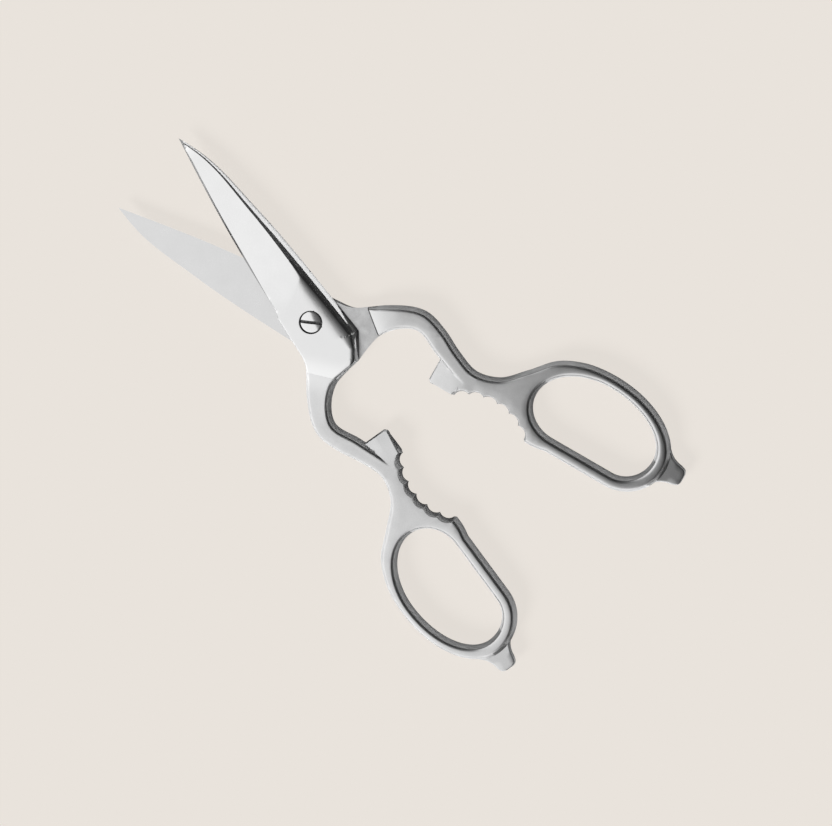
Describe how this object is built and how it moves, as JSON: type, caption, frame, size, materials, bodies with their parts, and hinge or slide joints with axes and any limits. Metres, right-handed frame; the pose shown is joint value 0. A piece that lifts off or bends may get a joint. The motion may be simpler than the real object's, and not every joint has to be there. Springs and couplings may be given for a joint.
{
  "type": "kitchen scissors",
  "caption": "Forged steel kitchen scissors: two crossed halves on a slotted pivot screw, each with a blade, a bottle-opener hook, a scalloped lid grip, a finger bow and a screwdriver tab.",
  "frame": {"origin": "on the pivot axis, in the plane of the rear half's back, where the screw's peened tail ends flush", "axes": "+X from the pivot towards the blade tips, half way between the blades; +Z along the pivot axis, up through the front face and the screw head; +Y towards the front half's finger bow"},
  "size_m": [0.21, 0.1174, 0.0093],
  "materials": {
    "forged_steel": "satin, fine grinding lines along the blades",
    "screw_steel": "polished"
  },
  "bodies": {
    "rear": {"rear_half": "forged_steel", "pivot_screw": "screw_steel"},
    "front": {"front_half": "forged_steel"}
  },
  "joints": [
    {"name": "pivot", "type": "hinge", "parent": "rear", "child": "front", "pos_m": [0, 0, 0.00465], "axis": [0, 0, 1], "range_deg": [-75, 24.3]}
  ]
}
